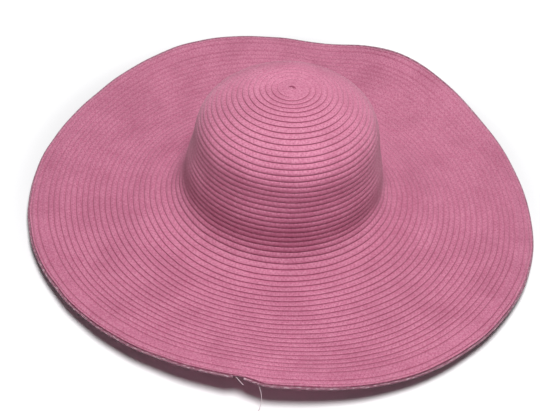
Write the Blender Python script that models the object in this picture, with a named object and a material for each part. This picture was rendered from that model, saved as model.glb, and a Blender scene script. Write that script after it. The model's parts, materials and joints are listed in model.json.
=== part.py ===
"""
A wide-brimmed sun hat, sewn from one long paper-straw braid.

The whole hat is one skin of braid rows round an axis, and each piece is a stretch of it: the
crown, the brim that is tucked under the crown's last row, and the doubled braid under the brim's
edge.  The skin follows from two short tables of slopes.  Each piece is drawn as a flat section, of
distance along the skin against height over it, turned about the axis with spin, and then carried
to its place on the skin.

Metres, +Z up.  The front of the hat faces -Y, and azimuths run from the front towards +X.  The
origin is the middle of the hat's box, on the surface that the hat rests on.  Heights in a section
count from its under side, and the skin lies THICKNESS above that, along the rows' outer edges.
"""
import math
from collections import namedtuple
from functools import lru_cache

import bmesh
import bpy
import numpy as np
from mathutils import Vector

# Driving dimensions
HEAD_RADIUS = 0.0945        # mean reach of the crown's outside at its foot
CROWN_DEPTH = 0.1060        # from the tip down to the crown's foot
BRIM_WIDTH = 0.1614         # along the skin from the crown's foot to the edge, at its narrowest
ROW_PITCH = 0.0055          # what shows of each row of braid
WALL = 0.0015               # thickness at the start of a row
ROW_STEP = 0.0006           # how far a row's outer edge stands over the next row
LAP = 0.0055                # how far the crown's last row covers the brim
TONGUE = 0.0010             # thickness of the brim where the crown covers it
RIM_WIDTH = 0.0080          # width of the braid under the brim's edge
RIM_THICKNESS = 0.0010
RIM_PROUD = 0.0022          # how far that braid stands out past the edge
NOTCH_GAP = 0.0095          # between that braid's two ends
NOTCH_AZIMUTH = math.radians(-6.3)
PAD_RADIUS = 0.0080         # the flat round inside the tip
CLEARANCE = 0.0003          # between pieces that touch

THICKNESS = WALL + ROW_STEP

# How finely the skin is drawn
SPOKES = 44                 # even, because the crown's top uses every other one
STEPS = 120                 # of the slope tables, for the crown and again for the brim
SKIN_END = 2.1              # where the slopes end: the crown is 0 to 1, the brim 1 to 2
FINE_SHARE = 0.47           # of the crown's length, where the crown starts to use every spoke
UNDER_ROWS = 4              # rows between two rings of the under side
RIDGE_SHARE = 0.88          # of a row's pitch, where the row is highest
TONGUE_SHARE = 0.30         # of the wall, the part that the tongue takes from it
SAME_PLACE = 1e-6           # metres within which two points are one
SHARP_ANGLE = math.radians(50)

# Slopes below level, in degrees, at shares of the crown's length from the tip to its foot
CrownSection = namedtuple("CrownSection", "share front right back left")
CROWN_SECTIONS = (
    CrownSection(0.00, 9, 9, 10, 11),
    CrownSection(0.13, -2, -1, 1, 3),
    CrownSection(0.27, 18, 21, 23, 23),
    CrownSection(0.37, 33, 27, 35, 27),
    CrownSection(0.47, 45, 43, 48, 40),
    CrownSection(0.57, 62, 66, 64, 62),
    CrownSection(0.67, 81, 80, 82, 79),
    CrownSection(0.83, 79, 76, 79, 75),
    CrownSection(1.00, 82, 79, 82, 79),
)

# Slopes below level, in degrees, for each twelfth of a turn and at shares of the brim's width
BrimSection = namedtuple("BrimSection", "azimuth flare root inner middle outer edge")
BRIM_SHARES = (0.10, 0.20, 0.36, 0.56, 0.79, 1.00)
BRIM_SECTIONS = (
    BrimSection(0, 62, 22, 2, -6, -15, -12),
    BrimSection(30, 54, 17, 6, 1, -8, -4),
    BrimSection(60, 43, 19, 16, -1, -8, 9),
    BrimSection(90, 38, 12, 17, 5, 2, 16),
    BrimSection(120, 42, 17, 13, -1, -5, -3),
    BrimSection(150, 50, 10, 2, -7, -21, -34),
    BrimSection(180, 56, 11, 3, -4, -15, -21),
    BrimSection(210, 56, 15, 7, -4, -22, -25),
    BrimSection(240, 52, 15, 10, 1, -3, -4),
    BrimSection(270, 49, 17, 13, -1, 0, 9),
    BrimSection(300, 52, 20, 11, 4, -8, -6),
    BrimSection(330, 58, 27, 5, -6, -11, -8),
)

# Soft dents: middle and spread, in degrees and in shares of the crown's length or, past 1, of the
# brim's width, and depth as a share of HEAD_RADIUS
Dent = namedtuple("Dent", "azimuth share azimuth_spread share_spread depth")
DENTS = (
    Dent(-38, 0.46, 17, 0.08, 0.016),
    Dent(-12, 0.72, 14, 0.09, 0.009),
    Dent(34, 0.78, 13, 0.08, 0.007),
    Dent(169, 2.00, 11, 0.28, 0.130),
)

PINK = (0.60, 0.20, 0.33, 1.0)
FADED_PINK = (0.62, 0.30, 0.40, 1.0)
STRAW_ROUGHNESS = 0.75

GRID = np.linspace(0.0, SKIN_END, round(SKIN_END * STEPS) + 1)


def around(ring, azimuth):
    """Read a ring of evenly spaced values at an azimuth, on a smooth closed curve."""
    place = azimuth / math.tau * len(ring)
    first = math.floor(place)
    part = place - first
    before, here, after, beyond = (ring[(first + step) % len(ring)] for step in (-1, 0, 1, 2))
    bend = 2 * before - 5 * here + 4 * after - beyond
    turn = 3 * (here - after) + beyond - before
    return here + 0.5 * part * (after - before + part * (bend + part * turn))


def along(places, values, wanted):
    """Read values at the wanted places, on a smooth curve through the given ones."""
    places, values = np.array(places, float), np.array(values, float)
    pull = np.gradient(values, places)
    wanted = np.clip(wanted, places[0], places[-1])
    first = np.clip(np.searchsorted(places, wanted) - 1, 0, len(places) - 2)
    span = places[first + 1] - places[first]
    part = (wanted - places[first]) / span
    rise = part * part * (3 - 2 * part)
    start_pull = part * (1 - part) ** 2 * span * pull[first]
    end_pull = part * part * (1 - part) * span * pull[first + 1]
    return values[first] + rise * (values[first + 1] - values[first]) + start_pull - end_pull


def slopes(azimuth):
    """Slope of the skin below level, in radians, at each place of GRID."""
    places = [section.share for section in CROWN_SECTIONS]
    values = [around(section[1:], azimuth) for section in CROWN_SECTIONS]
    columns = zip(*(section[1:] for section in BRIM_SECTIONS))
    for share, column in zip(BRIM_SHARES, columns):
        places.append(1.0 + share)
        values.append(around(column, azimuth))
    return np.radians(along(places, values, GRID))


def running_sum(values):
    """Sum of values over GRID, from the tip to each place."""
    steps = 0.5 * (values[1:] + values[:-1]) * np.diff(GRID)
    return np.concatenate(([0.0], np.cumsum(steps)))


def to_foot(values):
    """Sum of values over the crown, from the tip to its foot."""
    return np.interp(1.0, GRID, running_sum(values))


def crown_measures():
    """Metres of reach and of depth for one unit of the crown's table, and its length."""
    quarters = [slopes(math.radians(azimuth)) for azimuth in (0, 90, 180, 270)]
    to_reach = HEAD_RADIUS / np.mean([to_foot(np.cos(quarter)) for quarter in quarters])
    to_depth = CROWN_DEPTH / np.mean([to_foot(np.sin(quarter)) for quarter in quarters])
    lengths = [to_foot(np.hypot(np.cos(quarter) * to_reach, np.sin(quarter) * to_depth))
               for quarter in quarters]
    return to_reach, to_depth, float(np.mean(lengths))


TO_REACH, TO_DEPTH, CROWN_LENGTH = crown_measures()
FULL_LENGTH = CROWN_LENGTH + BRIM_WIDTH
RIM_END = FULL_LENGTH + RIM_PROUD
RIM_START = RIM_END - RIM_WIDTH
CROWN_ROWS = round(CROWN_LENGTH / ROW_PITCH)
BRIM_ROWS = math.ceil(BRIM_WIDTH / ROW_PITCH)


def brim_width(azimuth):
    """Width of the brim, which the spiral of rows makes one row narrower in a full turn."""
    turned = (azimuth - NOTCH_AZIMUTH) % math.tau / math.tau
    return BRIM_WIDTH + ROW_PITCH * (1.0 - turned)


def dent_depth(azimuth):
    """How far the dents push the skin in, at each place of GRID."""
    depth = np.zeros_like(GRID)
    for dent in DENTS:
        aside = (math.degrees(azimuth) - dent.azimuth + 180) % 360 - 180
        across = aside / dent.azimuth_spread
        down = (GRID - dent.share) / dent.share_spread
        depth += dent.depth * HEAD_RADIUS * np.exp(-across ** 2 - down ** 2)
    return depth


@lru_cache(maxsize=None)
def meridian(azimuth):
    """Reach, level and outward normal of the skin at each place of GRID."""
    slope = slopes(azimuth)
    width = brim_width(azimuth)
    on_crown = GRID <= 1.0
    reach = running_sum(np.cos(slope) * np.where(on_crown, TO_REACH, width))
    level = -running_sum(np.sin(slope) * np.where(on_crown, TO_DEPTH, width))
    out, up = np.sin(slope), np.cos(slope)
    depth = dent_depth(azimuth)
    return reach - out * depth, level - up * depth, out, up


def on_skin(run, azimuth, height):
    """Point `run` along the skin from the tip at an azimuth, and `height` over its under side."""
    if run <= CROWN_LENGTH:
        place = run / CROWN_LENGTH
    else:
        place = 1.0 + (run - CROWN_LENGTH) / BRIM_WIDTH
    reach, level, out, up = (np.interp(place, GRID, column) for column in meridian(azimuth))
    reach += out * (height - THICKNESS)
    level += up * (height - THICKNESS)
    return Vector((reach * math.sin(azimuth), -reach * math.cos(azimuth), level))


def spoke_azimuth(spoke):
    """Azimuth of a spoke: the notch's gap lies between the last and the first."""
    gap = NOTCH_GAP / np.interp(2.0, GRID, meridian(NOTCH_AZIMUTH)[0])
    return NOTCH_AZIMUTH + 0.5 * gap + spoke * (math.tau - gap) / (SPOKES - 1)


def pad_height():
    """Level of the flat round inside the tip: the mean level of its edge."""
    spokes = [spoke_azimuth(spoke) for spoke in range(SPOKES)]
    return sum(on_skin(PAD_RADIUS, azimuth, 0.0).z for azimuth in spokes) / SPOKES


def rows(start, end, count):
    """Upper side of a stretch of rows: each rises to its outer edge and drops to the next."""
    row = (end - start) / count
    points = []
    for number in range(count):
        points.append((start + (number + RIDGE_SHARE) * row, THICKNESS))
        points.append((start + (number + 1) * row, WALL))
    return points[:-2] + [(end, THICKNESS)]


def under_side(start, end, count):
    """Under side of a stretch of `count` rows, a ring for every few of them."""
    rings = max(2, round(count / UNDER_ROWS))
    return [(start + (end - start) * ring / rings, 0.0) for ring in range(rings + 1)]


def crown_section():
    """Section of the crown, from the tip's top over the outside to the tip's under side."""
    lap_start = CROWN_LENGTH - LAP
    lap_floor = TONGUE_SHARE * WALL + CLEARANCE
    outside = [(0.0, WALL)] + rows(0.0, CROWN_LENGTH, CROWN_ROWS)
    lap = [(CROWN_LENGTH, lap_floor), (lap_start, lap_floor)]
    inside = under_side(lap_start, PAD_RADIUS, CROWN_ROWS)
    return outside + lap + inside + [(0.0, 0.0)]


def brim_section():
    """Closed section of the brim, from the tongue over the top to the edge and back below."""
    tongue_top = TONGUE_SHARE * WALL
    tongue_start = CROWN_LENGTH - LAP + CLEARANCE
    face = CROWN_LENGTH + CLEARANCE
    row = BRIM_WIDTH / BRIM_ROWS
    tongue = [(tongue_start, tongue_top), (face, tongue_top), (face, WALL)]
    top = rows(CROWN_LENGTH, FULL_LENGTH, BRIM_ROWS)
    below = [(FULL_LENGTH, 0.0)]
    below += under_side(RIM_START, CROWN_LENGTH + row, BRIM_ROWS)
    below += [(CROWN_LENGTH, tongue_top - TONGUE), (tongue_start, tongue_top - TONGUE)]
    return tongue + top + below


def rim_section():
    """Closed section of the braid that lies under the brim's edge."""
    stops = (RIM_START, FULL_LENGTH, RIM_END)
    top, bottom = -CLEARANCE, -CLEARANCE - RIM_THICKNESS
    return [(stop, top) for stop in stops] + [(stop, bottom) for stop in reversed(stops)]


def spin_section(section, closed, full_turn):
    """Turn a section of (run, height) points about the axis, still flat and unwarped."""
    bm = bmesh.new()
    ring = bm.verts.layers.int.new("ring")
    corners = [bm.verts.new((run, 0.0, height)) for run, height in section]
    for number, corner in enumerate(corners):
        corner[ring] = number
    pairs = list(zip(corners, corners[1:]))
    if closed:
        pairs.append((corners[-1], corners[0]))
    edges = [bm.edges.new(pair) for pair in pairs]
    steps = SPOKES if full_turn else SPOKES - 1
    bmesh.ops.spin(bm, geom=corners + edges, cent=(0, 0, 0), axis=(0, 0, 1), dvec=(0, 0, 0),
                   angle=math.tau * steps / SPOKES, steps=steps, use_merge=full_turn)
    bmesh.ops.remove_doubles(bm, verts=bm.verts, dist=SAME_PLACE)
    if not full_turn:
        ends = [edge for edge in bm.edges if edge.is_boundary]
        bmesh.ops.holes_fill(bm, edges=ends, sides=len(section))
    return bm


def spoke_of(vert):
    """Number of the spoke that a vertex of the flat, spun section lies on."""
    return round(math.atan2(vert.co.y, vert.co.x) / math.tau * SPOKES) % SPOKES


def thin_out_top(bm, section):
    """Weld each odd spoke to the even one before it near the tip, where the rings are small."""
    limit = FINE_SHARE * CROWN_LENGTH
    small = {number for number, (run, _) in enumerate(section) if 0.0 < run < limit}
    ring = bm.verts.layers.int["ring"]
    verts = [vert for vert in bm.verts if vert[ring] in small]
    evens = {(spoke_of(vert), vert[ring]): vert for vert in verts if spoke_of(vert) % 2 == 0}
    welds = {vert: evens[spoke_of(vert) - 1, vert[ring]] for vert in verts if spoke_of(vert) % 2}
    bmesh.ops.weld_verts(bm, targetmap=welds)


def split_quads(bm):
    """Cut each quad on the diagonal that runs out with the azimuth, so that neighbours match."""
    for face in [face for face in bm.faces if len(face.verts) == 4]:
        first, second, third, fourth = face.verts
        turn = (spoke_of(third) - spoke_of(first) + SPOKES // 2) % SPOKES - SPOKES // 2
        outward = third.co.xy.length - first.co.xy.length
        pair = (first, third) if turn * outward > 0.0 else (second, fourth)
        bmesh.utils.face_split(face, *pair)


def carry_to_skin(bm):
    """Cut the flat, spun section into triangles and move each vertex to its place on the skin."""
    split_quads(bm)
    pad = pad_height()
    for vert in bm.verts:
        run, height = vert.co.xy.length, vert.co.z
        vert.co = on_skin(run, spoke_azimuth(spoke_of(vert)), height)
        if height < SAME_PLACE and run < PAD_RADIUS + SAME_PLACE:
            vert.co.z = pad


def straw(name, colour):
    """Plain straw finish in one colour."""
    material = bpy.data.materials.new(name)
    material.use_nodes = True
    shader = material.node_tree.nodes["Principled BSDF"]
    shader.inputs["Base Color"].default_value = colour
    shader.inputs["Roughness"].default_value = STRAW_ROUGHNESS
    shader.inputs["Metallic"].default_value = 0.0
    return material


def finish(name, bm, colour):
    """Turn a finished bmesh into a smooth-shaded object of its own colour."""
    bmesh.ops.recalc_face_normals(bm, faces=bm.faces)
    if bm.calc_volume(signed=True) < 0.0:
        bmesh.ops.reverse_faces(bm, faces=bm.faces)
    mesh = bpy.data.meshes.new(name)
    bm.to_mesh(mesh)
    bm.free()
    mesh.shade_smooth()
    mesh.set_sharp_from_angle(angle=SHARP_ANGLE)
    mesh.materials.append(straw(name + "_straw", colour))
    piece = bpy.data.objects.new(name, mesh)
    bpy.context.scene.collection.objects.link(piece)
    return piece


def build_crown():
    """The domed crown, open below."""
    section = crown_section()
    bm = spin_section(section, closed=False, full_turn=True)
    thin_out_top(bm, section)
    carry_to_skin(bm)
    return finish("crown", bm, PINK)


def build_brim():
    """The brim, with the tongue that the crown covers."""
    bm = spin_section(brim_section(), closed=True, full_turn=True)
    carry_to_skin(bm)
    return finish("brim", bm, PINK)


def build_rim_braid():
    """The doubled braid under the edge, open at the notch."""
    bm = spin_section(rim_section(), closed=True, full_turn=False)
    carry_to_skin(bm)
    return finish("rim_braid", bm, FADED_PINK)


def stand_on_origin(pieces):
    """Hang the pieces on an empty, so that the middle of their box's base is the origin."""
    corners = [vert.co for piece in pieces for vert in piece.data.vertices]
    low = Vector(min(corner[axis] for corner in corners) for axis in range(3))
    high = Vector(max(corner[axis] for corner in corners) for axis in range(3))
    tip = bpy.data.objects.new("tip", None)
    tip.location = (-0.5 * (low.x + high.x), -0.5 * (low.y + high.y), -low.z)
    bpy.context.scene.collection.objects.link(tip)
    for piece in pieces:
        piece.parent = tip


def main():
    """Clear the scene and build the hat."""
    for thing in list(bpy.data.objects):
        bpy.data.objects.remove(thing)
    stand_on_origin([build_crown(), build_brim(), build_rim_braid()])


main()
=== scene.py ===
"""
Looks of a wide-brimmed sun hat, sewn from one long paper-straw braid.

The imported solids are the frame.  The braid is wound over them in rows that lap like tiles, from
the tip to the brim's edge, as one spiral.  Under the edge lies a second layer of braid, frayed and
open at a notch in front, where two threads hang loose.  The straw's plait, needle holes and dust
come from one finish, and a white table with soft light and the camera make the studio.

Metres, +Z up.  The front of the hat faces -Y, and azimuths run from the front towards +X.  A place
on the hat is an azimuth, a row number and a height over the under side of the straw.  Row numbers
count the braid's turns from the tip, and a row's two dark lines lie at whole numbers.
"""
from __future__ import annotations

import json
import logging
import math
from dataclasses import dataclass, field
from enum import Enum
from typing import Mapping, NamedTuple, Sequence, Union

import bmesh
import bpy
import numpy as np
from mathutils import Euler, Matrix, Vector

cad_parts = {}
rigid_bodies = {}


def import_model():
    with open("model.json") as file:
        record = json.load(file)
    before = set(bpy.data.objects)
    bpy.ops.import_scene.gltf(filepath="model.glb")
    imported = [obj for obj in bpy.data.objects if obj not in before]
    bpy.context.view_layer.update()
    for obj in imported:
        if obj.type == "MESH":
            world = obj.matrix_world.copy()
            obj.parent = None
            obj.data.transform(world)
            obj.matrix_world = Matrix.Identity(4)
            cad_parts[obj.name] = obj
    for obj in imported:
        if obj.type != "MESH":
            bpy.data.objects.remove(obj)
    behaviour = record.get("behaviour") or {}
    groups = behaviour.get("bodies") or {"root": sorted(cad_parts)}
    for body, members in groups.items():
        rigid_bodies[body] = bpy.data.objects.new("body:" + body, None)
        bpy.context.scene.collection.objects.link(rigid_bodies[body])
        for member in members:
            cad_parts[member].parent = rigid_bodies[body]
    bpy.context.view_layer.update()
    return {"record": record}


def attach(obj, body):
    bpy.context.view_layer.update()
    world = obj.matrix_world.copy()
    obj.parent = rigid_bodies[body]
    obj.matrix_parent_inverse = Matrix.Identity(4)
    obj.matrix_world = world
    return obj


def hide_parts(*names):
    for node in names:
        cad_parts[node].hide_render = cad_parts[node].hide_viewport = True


LOG = logging.getLogger("sun_hat")
BODY = "root"
BRAID_SLOT = "braid"
EDGE_SLOT = "edge_braid"
BRAID_MAP = "braid"            # UV map: metres along and across the braid
WEAR_MAP = "wear"              # how rubbed and dusty the straw is
LAP_SHADE_MAP = "line"              # how much painted shade the lines between the rows get
LEVEL_MAP = "level"            # how level the straw lies
CORNER_MAP = "corner"          # numbers of a section's corners, while a piece is made
SAME_PLACE = 2e-6              # metres within which two points are one

Colour = tuple[float, float, float, float]
WHITE: Colour = (1.0, 1.0, 1.0, 1.0)
BLACK: Colour = (0.0, 0.0, 0.0, 1.0)


class CrownSection(NamedTuple):
    """Slopes below level, in degrees, at a share of the crown's length from the tip."""

    share: float
    front: float
    right: float
    back: float
    left: float


class BrimSection(NamedTuple):
    """Slopes below level, in degrees, at one azimuth, from the crown's foot to the edge."""

    azimuth: float
    flare: float
    root: float
    inner: float
    middle: float
    outer: float
    edge: float


class Dent(NamedTuple):
    """A soft dent: degrees, shares of the crown's or brim's length, and of the head's radius."""

    azimuth: float
    share: float
    azimuth_spread: float
    share_spread: float
    depth: float


class RowPoint(NamedTuple):
    """A corner of a row's section: a share of the pitch, and a share of the row's step."""

    share: float
    rise: float


class Wave(NamedTuple):
    """One wave of the lines' wander: its length in metres, its phase and its share."""

    length: float
    phase: float
    share: float


class StitchLine(NamedTuple):
    """A line of stitches: a share of the row's pitch, and of a stitch that it starts later."""

    share: float
    stagger: float


class ThreadStep(NamedTuple):
    """A point of a loose thread, in metres from where the thread leaves the edge."""

    right: float
    back: float
    up: float


class Range(NamedTuple):
    """Where something sets in, and where it has its full strength."""

    low: float
    high: float


CROWN_SECTIONS = (
    CrownSection(0.00, 9, 9, 10, 11),
    CrownSection(0.13, -2, -1, 1, 3),
    CrownSection(0.27, 18, 21, 23, 23),
    CrownSection(0.37, 33, 27, 35, 27),
    CrownSection(0.47, 45, 43, 48, 40),
    CrownSection(0.57, 62, 66, 64, 62),
    CrownSection(0.67, 81, 80, 82, 79),
    CrownSection(0.83, 79, 76, 79, 75),
    CrownSection(1.00, 82, 79, 82, 79),
)
BRIM_SHARES = (0.10, 0.20, 0.36, 0.56, 0.79, 1.00)
BRIM_SECTIONS = (
    BrimSection(0, 62, 22, 2, -6, -15, -12),
    BrimSection(30, 54, 17, 6, 1, -8, -4),
    BrimSection(60, 43, 19, 16, -1, -8, 9),
    BrimSection(90, 38, 12, 17, 5, 2, 16),
    BrimSection(120, 42, 17, 13, -1, -5, -3),
    BrimSection(150, 50, 10, 2, -7, -21, -34),
    BrimSection(180, 56, 11, 3, -4, -15, -21),
    BrimSection(210, 56, 15, 7, -4, -22, -25),
    BrimSection(240, 52, 15, 10, 1, -3, -4),
    BrimSection(270, 49, 17, 13, -1, 0, 9),
    BrimSection(300, 52, 20, 11, 4, -8, -6),
    BrimSection(330, 58, 27, 5, -6, -11, -8),
)
DENTS = (
    Dent(-38, 0.46, 17, 0.08, 0.016),
    Dent(-12, 0.72, 14, 0.09, 0.009),
    Dent(34, 0.78, 13, 0.08, 0.007),
    Dent(169, 2.00, 11, 0.28, 0.130),
)
WANDER = (Wave(0.043, 0.3, 0.30), Wave(0.071, 2.1, 0.30), Wave(0.128, 4.0, 0.40))
SHORT_THREAD = (
    ThreadStep(-0.0020, 0.0040, 0.0000),
    ThreadStep(0.0000, 0.0000, -0.0008),
    ThreadStep(0.0030, -0.0016, -0.0030),
    ThreadStep(0.0068, -0.0038, -0.0062),
)
LONG_THREAD = (
    ThreadStep(-0.0010, 0.0040, 0.0000),
    ThreadStep(0.0004, -0.0010, -0.0012),
    ThreadStep(0.0020, -0.0034, -0.0050),
    ThreadStep(0.0036, -0.0052, -0.0100),
    ThreadStep(0.0034, -0.0075, -0.0300),
    ThreadStep(-0.0020, -0.0130, -0.0300),
    ThreadStep(-0.0080, -0.0165, -0.0300),
)


@dataclass(frozen=True)
class HatSizes:
    """Driving sizes of the hat, the same as its solids have."""

    head_radius: float = 0.0945
    crown_depth: float = 0.1060
    brim_width: float = 0.1614
    row_pitch: float = 0.0055
    wall: float = 0.0015
    row_step: float = 0.0006
    pad_radius: float = 0.0080
    rim_width: float = 0.0080
    rim_thickness: float = 0.0010
    rim_proud: float = 0.0022
    notch_gap: float = 0.0095
    notch_azimuth: float = math.radians(-6.3)
    clearance: float = 0.0003
    first_line: float = 0.2075     # rows from the tip to the braid's first dark line, at the notch
    relief: float = 0.0011         # from the dark line up to the row's crest
    crowding: float = 0.35         # rows by which the last lines are drawn in
    crowded_rows: float = 6.0
    crowding_power: float = 1.5    # how late among those rows the drawing in comes
    taper: float = 0.0175          # share of a turn over which the last row comes out at the notch

    @property
    def thickness(self) -> float:
        """Thickness of the straw at a row's outer edge."""
        return self.wall + self.row_step


class Skin:
    """The hat's outer side, along the outer edges of its rows, drawn once on a fine grid."""

    azimuth_steps = 720
    steps = 480                    # of the slope tables, for the crown and again for the brim
    skin_end = 2.1                 # the crown is 0 to 1, and the brim 1 to 2
    most_turns = 70.0              # of the braid, a few past the edge
    turn_steps = 2800

    def __init__(self, sizes: HatSizes, pad_centre: Vector) -> None:
        """Draw the skin and hang it so that the pad inside its tip lies where the frame has it.

        Args:
            sizes: driving sizes of the hat.
            pad_centre: middle of the flat round inside the tip, in the frame.
        """
        self.sizes = sizes
        self.grid = np.linspace(0.0, self.skin_end, round(self.skin_end * self.steps) + 1)[:, None]
        self.azimuths = np.arange(self.azimuth_steps) * math.tau / self.azimuth_steps
        slope = self._slopes()
        to_reach, to_depth, self.crown_length = self._crown_measures(slope)
        width = self.brim_width(self.azimuths)
        on_crown = self.grid <= 1.0
        self.out, self.up = np.sin(slope), np.cos(slope)
        dent = self._dent_depth()
        reach = self._running_sum(self.up * np.where(on_crown, to_reach, width))
        level = -self._running_sum(self.out * np.where(on_crown, to_depth, width))
        self.reach, self.level = reach - self.out * dent, level - self.up * dent
        self.crown_rows = round(self.crown_length / sizes.row_pitch)
        self.axis = Vector((pad_centre.x, pad_centre.y, 0.0))
        self.lift = 0.0
        pad = self.place(np.full(self.azimuth_steps, sizes.pad_radius), self.azimuths, 0.0)
        self.lift = pad_centre.z - float(pad[:, 2].mean())
        self.turns = np.linspace(0.0, self.most_turns, self.turn_steps + 1)
        self.lengths = self._braid_lengths()

    def _slopes(self) -> np.ndarray:
        """Read the slope tables.

        Returns:
            Slopes below level, in radians, at each place of the grid and each azimuth.
        """
        places = [section.share for section in CROWN_SECTIONS]
        values = [self._around(section[1:], self.azimuths) for section in CROWN_SECTIONS]
        columns = zip(*(section[1:] for section in BRIM_SECTIONS))
        for share, column in zip(BRIM_SHARES, columns):
            places.append(1.0 + share)
            values.append(self._around(column, self.azimuths))
        return np.radians(self._along(np.array(places), np.array(values), self.grid[:, 0]))

    @staticmethod
    def _around(ring: Sequence[float], azimuth: np.ndarray) -> np.ndarray:
        """Read a ring of evenly spaced values on a smooth closed curve.

        Args:
            ring: values for equal parts of a turn, from the front.
            azimuth: azimuths to read them at.

        Returns:
            One value for each azimuth.
        """
        values = np.array(ring, float)
        place = azimuth / math.tau * len(values)
        first = np.floor(place).astype(int)
        part = place - first
        before, here, after, beyond = (values[(first + step) % len(values)]
                                       for step in (-1, 0, 1, 2))
        bend = 2 * before - 5 * here + 4 * after - beyond
        turn = 3 * (here - after) + beyond - before
        return here + 0.5 * part * (after - before + part * (bend + part * turn))

    @staticmethod
    def _along(places: np.ndarray, values: np.ndarray, wanted: np.ndarray) -> np.ndarray:
        """Read columns of values on a smooth curve through them.

        Args:
            places: where the values' rows belong, in order.
            values: one row of values for each place.
            wanted: where to read them.

        Returns:
            One row of values for each wanted place.
        """
        pull = np.gradient(values, places, axis=0)
        wanted = np.clip(wanted, places[0], places[-1])
        first = np.clip(np.searchsorted(places, wanted) - 1, 0, len(places) - 2)
        span = (places[first + 1] - places[first])[:, None]
        part = (wanted - places[first])[:, None] / span
        rise = part * part * (3 - 2 * part)
        start_pull = part * (1 - part) ** 2 * span * pull[first]
        end_pull = part * part * (1 - part) * span * pull[first + 1]
        return values[first] + rise * (values[first + 1] - values[first]) + start_pull - end_pull

    def _running_sum(self, values: np.ndarray) -> np.ndarray:
        """Sum of columns of values over the grid, from the tip to each place."""
        steps = 0.5 * (values[1:] + values[:-1]) * np.diff(self.grid, axis=0)
        return np.concatenate((np.zeros((1, values.shape[1])), np.cumsum(steps, axis=0)))

    def _crown_measures(self, slope: np.ndarray) -> tuple[float, float, float]:
        """Scale the crown's table to the head's radius and the crown's depth.

        Args:
            slope: slopes below level, in radians.

        Returns:
            Metres of reach and of depth for one unit of the table, and the crown's length.
        """
        quarters = slope[:, ::self.azimuth_steps // 4]
        foot = int(np.argmin(np.abs(self.grid[:, 0] - 1.0)))
        to_reach = self.sizes.head_radius / self._running_sum(np.cos(quarters))[foot].mean()
        to_depth = self.sizes.crown_depth / self._running_sum(np.sin(quarters))[foot].mean()
        paces = np.hypot(np.cos(quarters) * to_reach, np.sin(quarters) * to_depth)
        return to_reach, to_depth, float(self._running_sum(paces)[foot].mean())

    def _dent_depth(self) -> np.ndarray:
        """Add up the dents.

        Returns:
            How far they push the skin in, at each place of the grid and each azimuth.
        """
        depth = np.zeros((len(self.grid), self.azimuth_steps))
        for dent in DENTS:
            aside = (np.degrees(self.azimuths) - dent.azimuth + 180) % 360 - 180
            down = (self.grid - dent.share) / dent.share_spread
            bowl = np.exp(-(aside / dent.azimuth_spread) ** 2 - down ** 2)
            depth += dent.depth * self.sizes.head_radius * bowl
        return depth

    def _braid_lengths(self) -> np.ndarray:
        """Follow the braid, once round the hat for each row.

        Returns:
            Length of braid from the tip to each of `turns`.
        """
        inside = np.minimum(self.turns, self.crown_rows) / self.crown_rows
        outside = np.maximum(self.turns - self.crown_rows, 0.0) * self.sizes.row_pitch
        places = inside + outside / self.sizes.brim_width
        around = math.tau * np.interp(places, self.grid[:, 0], self.reach.mean(axis=1))
        steps = 0.5 * (around[1:] + around[:-1]) * np.diff(self.turns)
        return np.concatenate(([0.0], np.cumsum(steps)))

    def turned(self, azimuth: np.ndarray) -> np.ndarray:
        """Share of a turn from the notch to an azimuth."""
        return (azimuth - self.sizes.notch_azimuth) % math.tau / math.tau

    def emerged(self, turned: np.ndarray) -> np.ndarray:
        """How far the last row has come out beside the notch, from 0 to 1."""
        out = np.clip(turned / self.sizes.taper, 0.0, 1.0)
        return out * out * (3.0 - 2.0 * out)

    def brim_width(self, azimuth: np.ndarray) -> np.ndarray:
        """Width of the brim, which the spiral makes one row narrower in a full turn."""
        turned = self.turned(azimuth)
        return self.sizes.brim_width + self.sizes.row_pitch * self.emerged(turned) * (1.0 - turned)

    def run(self, row: np.ndarray, turned: np.ndarray) -> np.ndarray:
        """Distance along the skin from the tip to a row number.

        The last lines lie closer together, and beside the notch the last row comes out from
        nothing, so that the edge runs on without a step.

        Args:
            row: row numbers.
            turned: shares of a turn from the notch.

        Returns:
            One distance for each row number.
        """
        edge = self.edge_row()
        last = math.floor(edge)
        out = self.emerged(turned)
        at_edge = edge + self.sizes.first_line - turned - (1.0 - out)
        last_line = at_edge + (self._crowded(last, turned) - at_edge) * out
        line_before = self._crowded(last - 1.0, turned)
        in_last_row = line_before + (row - last + 1.0) * (last_line - line_before)
        in_strip = last_line + (row - last) / (edge - last) * (at_edge - last_line)
        turns = np.select((row <= last - 1.0, row <= last, row <= edge),
                          (self._crowded(row, turned), in_last_row, in_strip),
                          at_edge + row - edge)
        turns = np.maximum(turns, 0.0)
        on_crown = np.minimum(turns, self.crown_rows) * self.crown_length / self.crown_rows
        return on_crown + np.maximum(turns - self.crown_rows, 0.0) * self.sizes.row_pitch

    def _crowded(self, row: Union[float, np.ndarray], turned: np.ndarray) -> np.ndarray:
        """Count the rows from the tip to a row number, with the brim's last lines drawn in.

        Args:
            row: row numbers.
            turned: shares of a turn from the notch.

        Returns:
            One count for each share of a turn.
        """
        turns = row + self.sizes.first_line - turned
        start = math.floor(self.edge_row()) - self.sizes.crowded_rows + self.sizes.first_line
        share = np.clip((turns - start) / self.sizes.crowded_rows, 0.0, None)
        return turns - self.sizes.crowding * share ** self.sizes.crowding_power

    def braid_length(self, row: np.ndarray, turned: np.ndarray) -> np.ndarray:
        """Length of braid from the tip to a row number, after a share of a turn."""
        return np.interp(row + self.sizes.first_line - turned, self.turns, self.lengths)

    def edge_row(self) -> float:
        """Row number of the brim's edge, the same all round."""
        return self.crown_rows + self.sizes.brim_width / self.sizes.row_pitch + 1.0 \
            - self.sizes.first_line

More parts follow.
